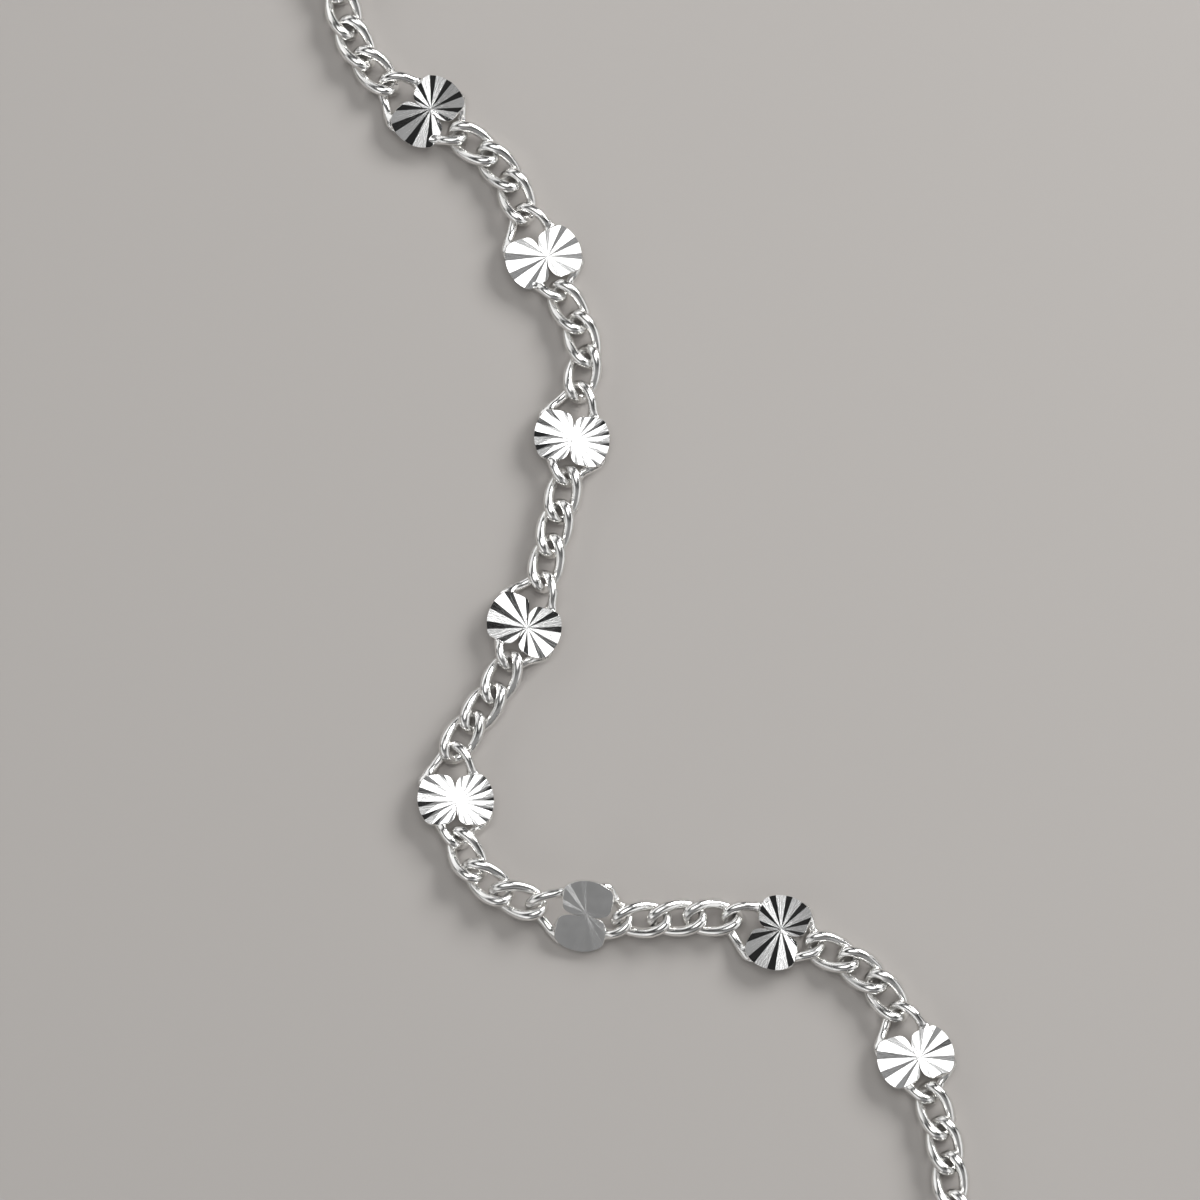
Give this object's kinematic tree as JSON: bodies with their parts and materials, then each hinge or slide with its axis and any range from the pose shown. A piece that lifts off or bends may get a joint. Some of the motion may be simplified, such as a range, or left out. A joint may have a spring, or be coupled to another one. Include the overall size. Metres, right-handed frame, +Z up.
{
  "type": "chain bracelet",
  "caption": "Fine silver curb-chain bracelet with diamond-cut double-lobed plate links, fastened by a spring ring and lying in a loose loop.",
  "frame": {"origin": "on the surface, under the middle of the closed loop's box", "axes": "+Y along the loop's longer side, +X towards the side with the clasp, +Z up from the surface"},
  "size_m": [0.0477, 0.0716, 0.0023],
  "materials": {
    "link_silver": "polished silver wire",
    "plate_silver": "diamond-cut mirror facets",
    "clasp_silver": "polished"
  },
  "bodies": {
    "root": {"chain_run_01": "link_silver", "chain_run_02": "link_silver", "chain_run_03": "link_silver", "chain_run_04": "link_silver", "chain_run_05": "link_silver", "chain_run_06": "link_silver", "chain_run_07": "link_silver", "chain_run_08": "link_silver", "chain_run_09": "link_silver", "chain_run_10": "link_silver", "chain_run_11": "link_silver", "chain_run_12": "link_silver", "chain_run_13": "link_silver", "chain_run_14": "link_silver", "chain_run_15": "link_silver", "chain_run_16": "link_silver", "chain_run_17": "link_silver", "chain_run_18": "link_silver", "chain_run_19": "link_silver", "chain_run_20": "link_silver", "chain_run_21": "link_silver", "chain_run_22": "link_silver", "chain_run_23": "link_silver", "plate_link_01": "plate_silver", "plate_link_02": "plate_silver", "plate_link_03": "plate_silver", "plate_link_04": "plate_silver", "plate_link_05": "plate_silver", "plate_link_06": "plate_silver", "plate_link_07": "plate_silver", "plate_link_08": "plate_silver", "plate_link_09": "plate_silver", "plate_link_10": "plate_silver", "plate_link_11": "plate_silver", "plate_link_12": "plate_silver", "plate_link_13": "plate_silver", "plate_link_14": "plate_silver", "plate_link_15": "plate_silver", "plate_link_16": "plate_silver", "plate_link_17": "plate_silver", "plate_link_18": "plate_silver", "plate_link_19": "plate_silver", "plate_link_20": "plate_silver", "plate_link_21": "plate_silver", "plate_link_22": "plate_silver", "jump_ring": "clasp_silver", "spring_ring_clasp": "clasp_silver", "end_ring": "clasp_silver"}
  },
  "joints": []
}
